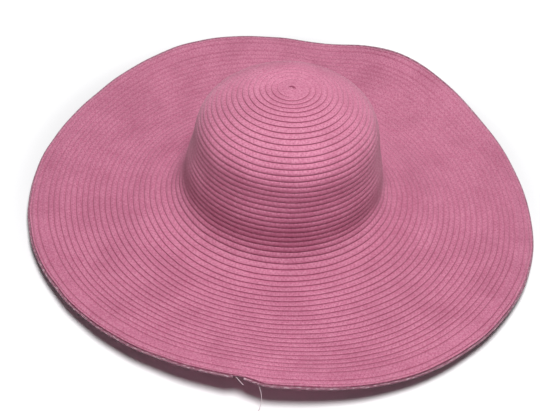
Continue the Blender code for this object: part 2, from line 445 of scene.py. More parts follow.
    def place(self, run: np.ndarray, azimuth: np.ndarray,
              height: Union[float, np.ndarray]) -> np.ndarray:
        """Points in the frame.

        Args:
            run: distances along the skin from the tip.
            azimuth: azimuths, in radians.
            height: heights over the under side of the straw.

        Returns:
            An array of one point a row.
        """
        beyond = np.maximum(run - self.crown_length, 0.0) / self.brim_width(azimuth)
        place = np.minimum(run, self.crown_length) / self.crown_length + beyond
        down = np.clip(place, 0.0, self.skin_end - 1e-9) * self.steps
        across = azimuth % math.tau / math.tau * self.azimuth_steps
        row, column = np.floor(down).astype(int), np.floor(across).astype(int)
        row_part, column_part = down - row, across - column
        column, beside = column % self.azimuth_steps, (column + 1) % self.azimuth_steps

        def read(table: np.ndarray) -> np.ndarray:
            """Read a table between its four nearest values.

            Args:
                table: one row of values for each place of the grid.

            Returns:
                One value for each place asked for.
            """
            here = table[row, column] * (1 - column_part) + table[row, beside] * column_part
            below = table[row + 1, column] * (1 - column_part) \
                + table[row + 1, beside] * column_part
            return here * (1 - row_part) + below * row_part

        over = height - self.sizes.thickness
        reach = read(self.reach) + read(self.out) * over
        level = read(self.level) + read(self.up) * over + self.lift
        return np.stack((self.axis.x + reach * np.sin(azimuth),
                         self.axis.y - reach * np.cos(azimuth), level), axis=1)


class Domain(Enum):
    """What an attribute of a mesh has its values for."""

    POINT = "POINT"
    CORNER = "CORNER"


def write_attribute(mesh: bpy.types.Mesh, name: str, domain: Domain, values: np.ndarray) -> None:
    """Write an attribute of plain numbers."""
    layer = mesh.attributes.new(name, "FLOAT", domain.value)
    layer.data.foreach_set("value", values.astype(np.float32))


def write_level(mesh: bpy.types.Mesh) -> None:
    """Write how level a smoothly shaded mesh lies, from 0 where it is upright to 1.

    Args:
        mesh: mesh with its sharp edges marked.
    """
    normals = np.zeros(len(mesh.loops) * 3, np.float32)
    mesh.corner_normals.foreach_get("vector", normals)
    write_attribute(mesh, LEVEL_MAP, Domain.CORNER, np.abs(normals.reshape(-1, 3)[:, 2]))


def add_object(name: str, data: bpy.types.ID) -> bpy.types.Object:
    """Put a mesh, light or camera into the scene.

    Args:
        name: the object's name.
        data: what it shows.

    Returns:
        The object, at the origin.
    """
    thing = bpy.data.objects.new(name, data)
    bpy.context.scene.collection.objects.link(thing)
    return thing


@dataclass
class Section:
    """A flat section of the straw: its corners, and the row of braid that each side belongs to."""

    rows: list[float] = field(default_factory=list)
    heights: list[float] = field(default_factory=list)
    braids: list[float] = field(default_factory=list)
    closed: bool = True

    def add(self, row: float, height: float, braid: float) -> None:
        """Add a corner.

        Args:
            row: its row number.
            height: its height over the under side.
            braid: row number where the braid starts that lies from this corner to the next.
        """
        self.rows.append(row)
        self.heights.append(height)
        self.braids.append(braid)


class Side(Enum):
    """Which side of the straw a row of braid shows on."""

    OUTER = "outer"
    UNDER = "under"


ROW_CORNERS = {
    Side.OUTER: (RowPoint(0.012, 0.00), RowPoint(0.07, 0.26), RowPoint(0.20, 0.56),
                 RowPoint(0.38, 0.83), RowPoint(0.58, 0.98), RowPoint(0.76, 1.00),
                 RowPoint(0.89, 0.88), RowPoint(0.97, 0.62), RowPoint(1.00, 0.20)),
    Side.UNDER: (RowPoint(0.02, 0.10), RowPoint(0.12, 0.00), RowPoint(0.55, 0.40),
                 RowPoint(0.98, 0.90)),
}
EDGE_CORNERS = (RowPoint(0.03, 0.00), RowPoint(0.20, 0.30), RowPoint(0.45, 0.60),
                RowPoint(0.75, 0.80), RowPoint(0.93, 0.72), RowPoint(1.00, 0.30))


@dataclass
class StrawPiece:
    """A stretch of the wound straw: a flat section, screwed round the axis and laid on the skin."""

    skin: Skin
    name: str
    node: str
    slot: str
    material: bpy.types.Material
    spokes: int = 250
    wander: float = 0.00030        # how far the hand-guided lines stray from their places
    screw_rise: float = 0.01       # for each spoke while the section is flat, to tell spokes apart
    under_step: float = 0.0004
    under_lap: float = 0.32        # of a row, how far its inner edge lies before its outer line
    flat_reach: float = 1.0        # from the axis to the flat section
    lap_shade_middle: float = 0.36      # painted shade of the lines at the sides
    lap_shade_swing: float = 0.64       # how much more painted shade in front, and less at the back
    faintest_lap_shade: float = 0.15
    sharp_angle: float = math.radians(62)

    def section(self) -> Section:
        """The flat section of this piece."""
        raise NotImplementedError

    def outer_rows(self, section: Section, start: float, end: float) -> None:
        """Add the outer side of some rows.

        Args:
            section: the section that gets the corners.
            start: row number to start from.
            end: row number to go out to.
        """
        for number in range(math.floor(start), math.ceil(end)):
            for corner in ROW_CORNERS[Side.OUTER]:
                row = number + corner.share
                if start <= row <= end:
                    drop = (1.0 - corner.rise) * self.row_step(row)
                    section.add(row, self.skin.sizes.thickness - drop, number)

    def under_rows(self, section: Section, start: float, end: float) -> None:
        """Add the under side of some rows.

        Args:
            section: the section that gets the corners.
            start: row number to start from.
            end: row number to come in to.
        """
        for number in range(math.ceil(start) + 1, math.floor(end) - 1, -1):
            for corner in reversed(ROW_CORNERS[Side.UNDER]):
                row = number - self.under_lap + corner.share
                if end <= row <= start:
                    section.add(row, corner.rise * self.under_step, number - self.under_lap)

    def row_step(self, row: float) -> float:
        """How far a row's crest stands over the line before it."""
        return self.skin.sizes.relief

    def turned_of(self, spoke: np.ndarray) -> np.ndarray:
        """Share of a turn from the notch to a spoke."""
        return spoke / self.spokes

    def stray(self, row: np.ndarray, turned: np.ndarray) -> np.ndarray:
        """How far the lines of the rows stray from their places.

        Args:
            row: row numbers.
            turned: shares of a turn from the notch.

        Returns:
            One distance for each row number, in rows.
        """
        line = np.floor(row)
        part = row - line
        total = np.zeros_like(row)
        for side, weight in ((0.0, 1.0 - part), (1.0, part)):
            length = self.skin.braid_length(line + side, turned)
            for wave in WANDER:
                total += weight * wave.share * np.sin(math.tau * length / wave.length + wave.phase)
        return total * self.wander / self.skin.sizes.row_pitch

    def places(self, row: np.ndarray, turned: np.ndarray, height: np.ndarray) -> np.ndarray:
        """Lay places of this piece on the skin.

        Args:
            row: row numbers.
            turned: shares of a turn from the notch.
            height: heights over the under side of the straw.

        Returns:
            An array of one point a row, in the frame.
        """
        azimuth = self.skin.sizes.notch_azimuth + turned * math.tau
        run = self.skin.run(row + self.stray(row, turned), turned)
        return self.skin.place(run, azimuth, height)

    def spin(self, section: Section) -> bpy.types.Mesh:
        """Screw the flat section once round the axis.

        Args:
            section: the section.

        Returns:
            A flat mesh whose CORNER_MAP holds each vertex's number in the section.
        """
        bm = bmesh.new()
        corner = bm.verts.layers.int.new(CORNER_MAP)
        line = []
        for number, (row, height) in enumerate(zip(section.rows, section.heights)):
            reach = self.flat_reach + row * self.skin.sizes.row_pitch
            vert = bm.verts.new((reach, 0.0, height))
            vert[corner] = number
            line.append(vert)
        pairs = list(zip(line, line[1:]))
        if section.closed:
            pairs.append((line[-1], line[0]))
        edges = [bm.edges.new(pair) for pair in pairs]
        bmesh.ops.spin(bm, geom=line + edges, cent=(0, 0, 0), axis=(0, 0, 1),
                       dvec=(0, 0, self.screw_rise), angle=math.tau, steps=self.spokes,
                       use_merge=False)
        mesh = bpy.data.meshes.new(self.name)
        bm.to_mesh(mesh)
        bm.free()
        return mesh

    def lay(self, mesh: bpy.types.Mesh, section: Section) -> None:
        """Lay the flat mesh on the skin and write what its finish reads.

        Args:
            mesh: flat mesh, as `spin` makes it.
            section: the section that it was spun from.
        """
        count = len(mesh.vertices)
        corner = np.zeros(count, np.int32)
        mesh.attributes[CORNER_MAP].data.foreach_get("value", corner)
        flat = np.zeros(count * 3, np.float32)
        mesh.vertices.foreach_get("co", flat)
        spoke = np.round(flat.reshape(-1, 3)[:, 2] / self.screw_rise)
        turned = self.turned_of(spoke)
        row = np.array(section.rows)[corner]
        points = self.places(row, turned, np.array(section.heights)[corner])
        self.write_braid_map(mesh, section, corner, turned)
        write_attribute(mesh, WEAR_MAP, Domain.POINT, self.wear(row))
        write_attribute(mesh, LAP_SHADE_MAP, Domain.POINT, self.line(row, turned))
        mesh.vertices.foreach_set("co", points.astype(np.float32).ravel())
        mesh.attributes.remove(mesh.attributes[CORNER_MAP])

    def write_braid_map(self, mesh: bpy.types.Mesh, section: Section, corner: np.ndarray,
                        turned: np.ndarray) -> None:
        """Write metres along and across the braid on the corners of the faces.

        Args:
            mesh: mesh of this piece.
            section: the section that it was spun from.
            corner: each vertex's number in the section.
            turned: each vertex's share of a turn from the notch.
        """
        vertex = np.zeros(len(mesh.loops), np.int32)
        mesh.loops.foreach_get("vertex_index", vertex)
        sides = np.zeros(len(mesh.polygons), np.int32)
        mesh.polygons.foreach_get("loop_total", sides)
        starts = np.concatenate(([0], np.cumsum(sides)[:-1]))
        low = np.minimum.reduceat(corner[vertex], starts)
        high = np.maximum.reduceat(corner[vertex], starts)
        side = np.where(high - low > 1, high, low)
        start_row = np.repeat(np.array(section.braids)[side], sides)
        row = np.array(section.rows)[corner[vertex]]
        along = self.skin.braid_length(start_row + 0.5, turned[vertex])
        across = self.skin.run(row, turned[vertex]) - self.skin.run(start_row, turned[vertex])
        layer = mesh.uv_layers.new(name=BRAID_MAP)
        layer.uv.foreach_set("vector", np.stack((along, across), axis=1).astype(np.float32).ravel())

    def wear(self, row: np.ndarray) -> np.ndarray:
        """How rubbed and dusty the straw is, from 0 to 1."""
        return np.zeros_like(row)

    def line(self, row: np.ndarray, turned: np.ndarray) -> np.ndarray:
        """How much painted shade the lines between the rows get: most in front and least at the back.

        Args:
            row: row numbers, not used here.
            turned: shares of a turn from the notch.

        Returns:
            One strength for each row number, from 0 to 1.
        """
        azimuth = self.skin.sizes.notch_azimuth + turned * math.tau
        dark = self.lap_shade_middle + self.lap_shade_swing * np.cos(azimuth)
        return np.clip(dark, self.faintest_lap_shade, 1.0)

    def close(self, mesh: bpy.types.Mesh) -> None:
        """Weld the spiral's seam, close its ends, turn the faces out and shade them.

        Args:
            mesh: mesh of this piece, laid on the skin.
        """
        bm = bmesh.new()
        bm.from_mesh(mesh)
        bmesh.ops.remove_doubles(bm, verts=bm.verts, dist=SAME_PLACE)
        bmesh.ops.dissolve_degenerate(bm, dist=SAME_PLACE, edges=bm.edges)
        ends = [edge for edge in bm.edges if edge.is_boundary]
        bmesh.ops.holes_fill(bm, edges=ends, sides=0)
        bmesh.ops.recalc_face_normals(bm, faces=bm.faces)
        if bm.calc_volume(signed=True) < 0.0:
            bmesh.ops.reverse_faces(bm, faces=bm.faces)
        bm.to_mesh(mesh)
        bm.free()
        mesh.shade_smooth()
        mesh.set_sharp_from_angle(angle=self.sharp_angle)
        write_level(mesh)

    def build(self) -> bpy.types.Object:
        """Make the piece, dress it and put it on its body.

        Returns:
            The finished piece.
        """
        section = self.section()
        mesh = self.spin(section)
        self.lay(mesh, section)
        self.close(mesh)
        mesh.materials.append(self.material)
        piece = add_object(self.name, mesh)
        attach(piece, BODY)
        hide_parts(self.node)
        return piece


@dataclass
class Crown(StrawPiece):
    """The domed crown, from the button at the tip to the line where the brim starts."""

    button_rows: float = 3.0
    button_step: float = 0.25      # share of the full step
    button_lap_shade: float = 0.2      # how much of their painted shade its lines keep
    soft_end: float = 0.4          # rows before the button's end where the full step sets in
    line_start: float = 0.15       # rows before the button's end where the lines' painted shade sets in
    line_rows: float = 0.2         # rows over which they do

    def section(self) -> Section:
        """Draw from the tip over the outer side to the foot, and back inside.

        Returns:
            The open section, whose ends meet the axis.
        """
        foot = float(self.skin.crown_rows)
        section = Section(closed=False)
        section.add(-self.skin.sizes.first_line, self.skin.sizes.wall, -1.0)
        self.outer_rows(section, 0.0, foot)
        section.add(foot, 0.0, foot)
        self.under_rows(section, foot, 1.0)
        section.add(-self.skin.sizes.first_line, 0.0, 0.0)
        return section

    def row_step(self, row: float) -> float:
        """The step, softer inside the button."""
        inside = self.button_step if row < self.button_rows - self.soft_end else 1.0
        return inside * self.skin.sizes.relief

    def line(self, row: np.ndarray, turned: np.ndarray) -> np.ndarray:
        """How much painted shade the lines get: the button's own turns hardly show.

        Args:
            row: row numbers.
            turned: shares of a turn from the notch.

        Returns:
            One strength for each row number, from 0 to 1.
        """
        past_button = row + self.skin.sizes.first_line - turned - self.button_rows
        strength = np.clip((past_button + self.line_start) / self.line_rows, self.button_lap_shade, 1.0)
        return super().line(row, turned) * strength


@dataclass
class Brim(StrawPiece):
    """The brim, from its first line under the crown's last row to the edge."""

    gap: float = 0.008             # rows between the crown's last row and this piece
    foot_shade_rows: float = 9.0        # from the foot, over which the lines' painted shade comes to full strength
    foot_lap_shade: float = 0.6        # how much of their painted shade they keep at the foot
    weak_line: float = 2.0         # lines before the last one, where one is weak all round
    weakened: float = 0.65         # how much of that line is missing
    weak_spread: float = 0.35      # in rows
    rubbed_rows: float = 0.90      # at the edge

    def section(self) -> Section:
        """Draw from the foot over the outer side to the edge, and back below.

        Returns:
            The closed section.
        """
        start = self.skin.crown_rows + self.gap
        end = self.skin.edge_row()
        last = math.floor(end)
        sizes = self.skin.sizes
        section = Section(closed=True)
        self.outer_rows(section, start, last)
        for corner in EDGE_CORNERS:
            row = last + corner.share * (end - last)
            drop = (1.0 - corner.rise) * sizes.relief
            section.add(row, sizes.thickness - drop, last)
        section.add(end, 0.0, end)
        self.under_rows(section, end, start)
        section.add(start, 0.0, start)
        return section

    def row_step(self, row: float) -> float:
        """The step, lower where the last line but two hardly shows."""
        return float(self.weakness(np.array(row))) * self.skin.sizes.relief

    def weakness(self, row: np.ndarray) -> np.ndarray:
        """What is left of the lines, from 0 to 1: one near the edge is weak all round."""
        weak = math.floor(self.skin.edge_row()) - self.weak_line
        return 1.0 - self.weakened * np.exp(-((row - weak) / self.weak_spread) ** 2)

    def line(self, row: np.ndarray, turned: np.ndarray) -> np.ndarray:
        """How much painted shade the lines get: less near the foot, and one line near the edge weak
        all round.

        Args:
            row: row numbers.
            turned: shares of a turn from the notch.

        Returns:
            One strength for each row number, from 0 to 1.
        """
        near_foot = np.clip((row - self.skin.crown_rows) / self.foot_shade_rows, 0.0, 1.0)
        strength = self.foot_lap_shade + (1.0 - self.foot_lap_shade) * near_foot
        return super().line(row, turned) * self.weakness(row) * strength

    def wear(self, row: np.ndarray) -> np.ndarray:
        """The brim is rubbed along its edge."""
        return np.clip(1.0 - (self.skin.edge_row() - row) / self.rubbed_rows, 0.0, 1.0)


@dataclass
class RimBraid(StrawPiece):
    """The second layer of braid under the brim's edge, open at the notch."""

    ring_corners: int = 7
    wander: float = 0.00055
    bead: float = 0.0010           # radius of the folded edge that stands out past the brim
    bead_height: float = -0.0001
    bead_arc: Range = Range(0.66, -0.5)     # in half turns, from the brim's edge down
    end_arc: Range = Range(-0.5, -1.5)
    fold: float = 0.03             # rows past the brim's edge where the bead sets in
    wear_fall: float = 0.6         # for each row from the outer edge
    least_wear: float = 0.3

    def section(self) -> Section:
        """Draw a flat band, rounded at its inner edge and folded to a bead at its outer one.

        Returns:
            The closed section.
        """
        sizes = self.skin.sizes
        outer = self.outer_row()
        start = outer - sizes.rim_width / sizes.row_pitch
        half = 0.5 * sizes.rim_thickness
        section = Section(closed=True)
        section.add(self.skin.edge_row() + self.fold, -sizes.clearance, start)
        for centre, height, radius, arc in (
                (outer - self.bead / sizes.row_pitch, self.bead_height, self.bead, self.bead_arc),
                (start + half / sizes.row_pitch, -sizes.clearance - half, half, self.end_arc)):
            for angle in np.linspace(arc.low, arc.high, self.ring_corners) * math.pi:
                section.add(centre + radius / sizes.row_pitch * math.cos(angle),
                            height + radius * math.sin(angle), start)
        return section

    def outer_row(self) -> float:
        """Row number of the band's outer edge."""
        return self.skin.edge_row() + self.skin.sizes.rim_proud / self.skin.sizes.row_pitch

    def turned_of(self, spoke: np.ndarray) -> np.ndarray:
        """Share of a turn from the notch to a spoke, with the gap left open.

        Args:
            spoke: numbers of spokes.

        Returns:
            One share of a turn for each spoke.
        """
        sizes = self.skin.sizes
        reach = float(np.interp(2.0, self.skin.grid[:, 0], self.skin.reach.mean(axis=1)))
        gap = sizes.notch_gap / reach / math.tau
        return 0.5 * gap + spoke / self.spokes * (1.0 - gap)

    def wear(self, row: np.ndarray) -> np.ndarray:
        """The band is rubbed all over, and most at its outer edge."""
        return np.clip(1.0 - self.wear_fall * (self.outer_row() - row), self.least_wear, 1.0)


@dataclass
class Thread:
    """A loose thread that hangs from the edge."""

    skin: Skin
    name: str
    material: bpy.types.Material
    azimuth: float                 # in radians
    path: Sequence[ThreadStep]
    radius: float = 0.00022
    lift: float = 1.5              # of its radius, between its middle and the table

    def build(self) -> bpy.types.Object:
        """Draw the thread as a thin tube and put it on its body.

        Returns:
            The finished piece.
        """
        sizes = self.skin.sizes
        turned = self.skin.turned(np.array([self.azimuth]))
        run = self.skin.run(np.array([self.skin.edge_row()]), turned)
        start = Vector(self.skin.place(run, np.array([self.azimuth]), -sizes.clearance)[0])
        line = bpy.data.curves.new(self.name, "CURVE")
        line.dimensions = "3D"
        line.bevel_depth = self.radius
        line.bevel_resolution = 1
        line.use_fill_caps = True
        spline = line.splines.new("NURBS")
        spline.points.add(len(self.path) - 1)
        for point, step in zip(spline.points, self.path):
            place = start + Vector(step)
            point.co = (place.x, place.y, max(place.z, self.lift * self.radius), 1.0)
        spline.order_u = 3
        spline.use_endpoint_u = True
        spline.resolution_u = 4
        holder = bpy.data.objects.new(self.name + "_line", line)
        mesh = bpy.data.meshes.new_from_object(holder)
        bpy.data.objects.remove(holder)
        mesh.name = self.name
        mesh.materials.clear()
        mesh.materials.append(self.material)
        mesh.shade_smooth()
        write_level(mesh)
        thread = add_object(self.name, mesh)
        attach(thread, BODY)
        return thread


class Socket:
    """A shader socket that adds Math nodes when it is used in an expression."""

    def __init__(self, graph: "Graph", socket: bpy.types.NodeSocket) -> None:
        """Wrap a socket of one graph."""
        self.graph = graph
        self.socket = socket

    def __add__(self, other: "Value") -> "Socket":
        """Sum."""
        return self.graph.math("ADD", self, other)

    def __radd__(self, other: "Value") -> "Socket":
        """Sum, with this socket on the right."""
        return self.graph.math("ADD", other, self)

    def __sub__(self, other: "Value") -> "Socket":
        """Difference."""
        return self.graph.math("SUBTRACT", self, other)

    def __rsub__(self, other: "Value") -> "Socket":
        """Difference, with this socket on the right."""
        return self.graph.math("SUBTRACT", other, self)

    def __mul__(self, other: "Value") -> "Socket":
        """Product."""
        return self.graph.math("MULTIPLY", self, other)

    def __rmul__(self, other: "Value") -> "Socket":
        """Product, with this socket on the right."""
        return self.graph.math("MULTIPLY", other, self)

    def __truediv__(self, other: "Value") -> "Socket":
        """Quotient."""
        return self.graph.math("DIVIDE", self, other)


Value = Union[Socket, float]


class Graph:
    """The node tree of one material."""

    def __init__(self, name: str) -> None:
        """Start a material with a bare Principled shader.

        Args:
            name: the material's name.
        """
        self.material = bpy.data.materials.new(name)
        self.material.use_nodes = True
        self.tree = self.material.node_tree
        self.shader = self.tree.nodes["Principled BSDF"]

    def node(self, kind: str, settings: Mapping[str, object] | None = None,
             inputs: Mapping[Union[str, int], object] | None = None) -> bpy.types.Node:
        """Add a node.

        Args:
            kind: its type, such as ShaderNodeMath.
            settings: its properties, set first.
            inputs: values or links of its sockets, by name or number.

        Returns:
            The node.
        """
        node = self.tree.nodes.new(kind)
        for key, value in (settings or {}).items():
            setattr(node, key, value)
        for key, value in (inputs or {}).items():
            self.feed(node.inputs[key], value)
        return node

    def feed(self, target: bpy.types.NodeSocket, value: object) -> None:
        """Link a socket to a target, or set the target's value.

        Args:
            target: a node's input.
            value: a Socket, or what the input is set to.
        """
        if isinstance(value, Socket):
            self.tree.links.new(value.socket, target)
        else:
            target.default_value = value

    def math(self, operation: str, *values: Value) -> Socket:
        """Result of a Math node."""
        node = self.node("ShaderNodeMath", {"operation": operation}, dict(enumerate(values)))
        return Socket(self, node.outputs[0])

    def output(self, node: bpy.types.Node, name: Union[str, int]) -> Socket:
        """An output of a node, ready for expressions."""
        return Socket(self, node.outputs[name])

    def attribute(self, name: str) -> Socket:
        """A number that the mesh holds."""
        return self.output(self.node("ShaderNodeAttribute", {"attribute_name": name}), "Fac")

    def split(self, vector: Socket, axes: str) -> list[Socket]:
        """Parts of a vector, for axes such as "XY"."""
        node = self.node("ShaderNodeSeparateXYZ", None, {0: vector})
        return [self.output(node, axis) for axis in axes]

    def join(self, first: Socket, second: Socket) -> Socket:
        """A vector of two parts."""
        return self.output(self.node("ShaderNodeCombineXYZ", None, {0: first, 1: second}), 0)

    def smooth(self, value: Value, bounds: Range) -> Socket:
        """Rise softly from 0 to 1 as a value goes through a range."""
        node = self.node("ShaderNodeMapRange", {"interpolation_type": "SMOOTHSTEP"},
                         {"Value": value, "From Min": bounds.low, "From Max": bounds.high})
        return self.output(node, "Result")

    def mix(self, factor: Value, first: Union[Socket, Colour],
            second: Union[Socket, Colour]) -> Socket:
        """Mix two colours."""
        node = self.node("ShaderNodeMix", {"data_type": "RGBA"}, {0: factor, 6: first, 7: second})
        return self.output(node, 2)

    def noise(self, vector: Socket, scale: float, detail: float = 2.0) -> Socket:
        """Noise between 0 and 1 on a vector."""
        node = self.node("ShaderNodeTexNoise", None,
                         {"Vector": vector, "Scale": scale, "Detail": detail})
        return self.output(node, "Fac")

    def luck(self, vector: Socket) -> Socket:
        """A random number between 0 and 1 for each pair of whole numbers."""
        node = self.node("ShaderNodeTexWhiteNoise", {"noise_dimensions": "2D"}, {"Vector": vector})
        return self.output(node, "Value")


@dataclass(frozen=True)
class CurledEnd:
    """The curled end of the braid, which leaves a small hole beside the tip, with painted shade in
    it.
    """

    tip: Vector
    right: float = -0.0005         # from the tip to the middle of the curl
    back: float = -0.0014
    radius: float = 0.0028
    stroke: Range = Range(0.0009, 0.0016)   # half its width, where it is black and where it ends
    start: Range = Range(-0.85, -0.60)      # in radians, from the back
    end: Range = Range(0.60, 2.30)

    def mark(self, graph: Graph, place: Socket) -> Socket:
        """Paint the shade in the hole, a bent stroke that fades at its end.

        Args:
            graph: graph of the straw.
            place: Object coordinates.

        Returns:
            1 in the hole and 0 away from it.
        """
        across, behind = graph.split(place, "XY")
        across, behind = across - (self.tip.x + self.right), behind - (self.tip.y + self.back)
        reach = graph.math("SQRT", across * across + behind * behind)
        angle = graph.math("ARCTAN2", across, behind)
        ring = 1.0 - graph.smooth(graph.math("ABSOLUTE", reach - self.radius), self.stroke)
        return ring * graph.smooth(angle, self.start) * (1.0 - graph.smooth(angle, self.end))


@dataclass(frozen=True)
class StrawFinish:
    """Matt paper straw, plaited on the bias, sewn through and a little dusty, with painted shade in
    its plait, holes, laps and curled end and on its upright parts.
    """

    name: str
    colour: Colour
    shade: Colour
    light: Colour
    dust: Colour
    curl: CurledEnd
    row_pitch: float
    dusting: float = 0.0
    roughness: float = 0.62
    sheen: float = 0.08
    sheen_roughness: float = 0.5

    strand: float = 0.0011         # width of one strand of the plait
    # painted shade in the dips between the plait's strands
    plait_shade: float = 0.28
    tint_range: Range = Range(0.25, 0.75)
    grain_scale: float = 900.0
    patch_scale: float = 26.0
    patch_detail: float = 3.0
    patch_range: Range = Range(0.35, 0.70)
    patch_shade: float = 0.22

    stitch: float = 0.0042         # between two needle holes
    stitch_lines: tuple[StitchLine, ...] = (StitchLine(0.30, 0.0), StitchLine(0.70, 0.5))
    stitch_slip: float = 0.25      # of a stitch, along the braid
    line_slip: float = 0.0006      # across the braid
    hole: Range = Range(0.0003, 0.0008)     # its radius, where it is dark and where it ends
    faintest_hole: float = 0.35
    # painted shade in the needle holes
    hole_shade: float = 0.60

    # painted shade in the lines where one row laps the next
    inner_lap: Range = Range(0.0001, 0.0011)
    outer_lap: float = 0.0005
    lap_scale: float = 210.0
    lap_stretch: float = 0.3
    lap_range: Range = Range(0.30, 0.62)
    faintest_lap: float = 0.60
    lap_shade: float = 0.68

    paler_top: Range = Range(0.105, 0.150)      # height over which the straw turns paler towards the top
    paler_top_share: float = 0.10
    painted_wall_shade: Range = Range(0.10, 0.75)        # how level it lies, from where upright straw gets its full painted shade to where it gets none
    painted_wall_shade_share: float = 0.47
    streak_scale: float = 260.0
    streak_stretch: float = 6.0
    streak_detail: float = 3.0
    streak_range: Range = Range(0.45, 0.72)
    # painted shade in the hole at the curled end
    curl_shade: float = 0.95

    relief: float = 0.00022
    bump_strength: float = 0.8
    hole_relief: float = 0.8       # these three as shares of the plait's relief
    grain_relief: float = 0.25
    curl_relief: float = 4.0

    def material(self) -> bpy.types.Material:
        """Build the material.

        Returns:
            The material, with the colours and bump of the plait, stitches, laps, dust and curl, and
            the painted shade of the plait, stitches, laps, curl and upright straw.
        """
        graph = Graph(self.name)
        mapping = graph.node("ShaderNodeUVMap", {"uv_map": BRAID_MAP})
        along, across = graph.split(graph.output(mapping, "UV"), "XY")
        place = graph.output(graph.node("ShaderNodeTexCoord"), "Object")
        height, = graph.split(place, "Z")
        wear, line, level = (graph.attribute(name) for name in (WEAR_MAP, LAP_SHADE_MAP, LEVEL_MAP))

        plait, tint = self._plait(graph, along, across)
        holes = self._holes(graph, along, across)
        # painted shade in the lines between the rows
        lap = self._lap(graph, along, across) * line
        curl = self.curl.mark(graph, place)
        grain = graph.noise(place, self.grain_scale)
        patches = graph.noise(place, self.patch_scale, self.patch_detail)
        stretched = graph.join(along, across * self.streak_stretch)
        streaks = graph.noise(stretched, self.streak_scale, self.streak_detail)
        # painted shade on upright straw, which the lamp overhead lights less
        painted_wall_shade = 1.0 - graph.smooth(level, self.painted_wall_shade)

        mottle = graph.smooth(tint * 0.5 + grain * 0.5, self.tint_range)
        colour = graph.mix(mottle, self.colour, self.light)
        # among these layers, the plait, holes, laps, curl and upright straw get painted shade
        for strength, over in (
                (graph.smooth(patches, self.patch_range) * self.patch_shade, self.shade),
                (graph.smooth(height, self.paler_top) * self.paler_top_share, self.dust),
                (painted_wall_shade * self.painted_wall_shade_share, self.shade),
                ((1.0 - plait) * self.plait_shade, self.shade),
                (holes * self.hole_shade, self.shade),
                (lap * self.lap_shade, self.shade),
                (wear * self.dusting * graph.smooth(streaks, self.streak_range), self.dust),
                (curl * self.curl_shade, self.shade)):
            colour = graph.mix(strength, colour, over)

        relief = plait * (1.0 - holes * self.hole_relief) + grain * self.grain_relief \
            - curl * self.curl_relief
        bump = graph.node("ShaderNodeBump", None, {"Strength": self.bump_strength,
                                                   "Distance": self.relief, "Height": relief})
        for target, value in (("Base Color", colour), ("Roughness", self.roughness),
                              ("Sheen Weight", self.sheen), ("Sheen Roughness", self.sheen_roughness),
                              ("Normal", graph.output(bump, "Normal"))):
            graph.feed(graph.shader.inputs[target], value)
        return graph.material

    def _plait(self, graph: Graph, along: Socket, across: Socket) -> tuple[Socket, Socket]:
        """Plait strands on the bias, over and under in turn.

        Args:
            graph: graph of the straw.
            along: metres along the braid.
            across: metres across it.

        Returns:
            Height of the plait, and a tint for each visible bit of strand, both from 0 to 1.
        """
        pace = self.strand * math.sqrt(2.0)
        first, second = (along + across) / pace, (along - across) / pace
        first_cell, second_cell = (graph.math("FLOOR", value) for value in (first, second))
        over = graph.math("FLOORED_MODULO", first_cell + second_cell, 2.0)
        first_part, second_part = first - first_cell, second - second_cell
        across_strand = first_part + (second_part - first_part) * over
        along_strand = second_part + (first_part - second_part) * over
        side, bow = across_strand * 2.0 - 1.0, along_strand * 2.0 - 1.0
        height = (1.0 - side * side) * (1.0 - bow * bow * 0.5)
        return height, graph.luck(graph.join(first_cell, second_cell))

    def _holes(self, graph: Graph, along: Socket, across: Socket) -> Socket:
        """Prick needle holes, in staggered lines on each row.

        Args:
            graph: graph of the straw.
            along: metres along the braid.
            across: metres across it.

        Returns:
            1 in the deepest holes and 0 between them.
        """
        total: Value = 0.0
        for line in self.stitch_lines:
            place = along / self.stitch + line.stagger
            number = graph.math("FLOOR", place)
            chance = graph.node("ShaderNodeTexWhiteNoise", {"noise_dimensions": "1D"},
                                {"W": number + line.share})
            luck = graph.output(chance, "Value")
            aside = (place - number - 0.5 + (luck - 0.5) * self.stitch_slip) * self.stitch
            off = across - self.row_pitch * line.share + (luck - 0.5) * self.line_slip
            distance = graph.math("SQRT", aside * aside + off * off)
            depth = self.faintest_hole + luck * (1.0 - self.faintest_hole)
            total = total + (1.0 - graph.smooth(distance, self.hole)) * depth
        return total

    def _lap(self, graph: Graph, along: Socket, across: Socket) -> Socket:
        """Paint shade into the lines where one row goes under the next, broken up by the sewing.

        Args:
            graph: graph of the straw.
            along: metres along the braid.
            across: metres across it.

        Returns:
            1 in the lines and 0 between them.
        """
        inner = 1.0 - graph.smooth(across, self.inner_lap)
        outer = graph.smooth(across, Range(self.row_pitch - self.outer_lap, self.row_pitch))
        beside = graph.join(along, across * self.lap_stretch)
        broken = graph.smooth(graph.noise(beside, self.lap_scale), self.lap_range)
        return graph.math("MAXIMUM", inner, outer) \
            * (self.faintest_lap + (1.0 - self.faintest_lap) * broken)


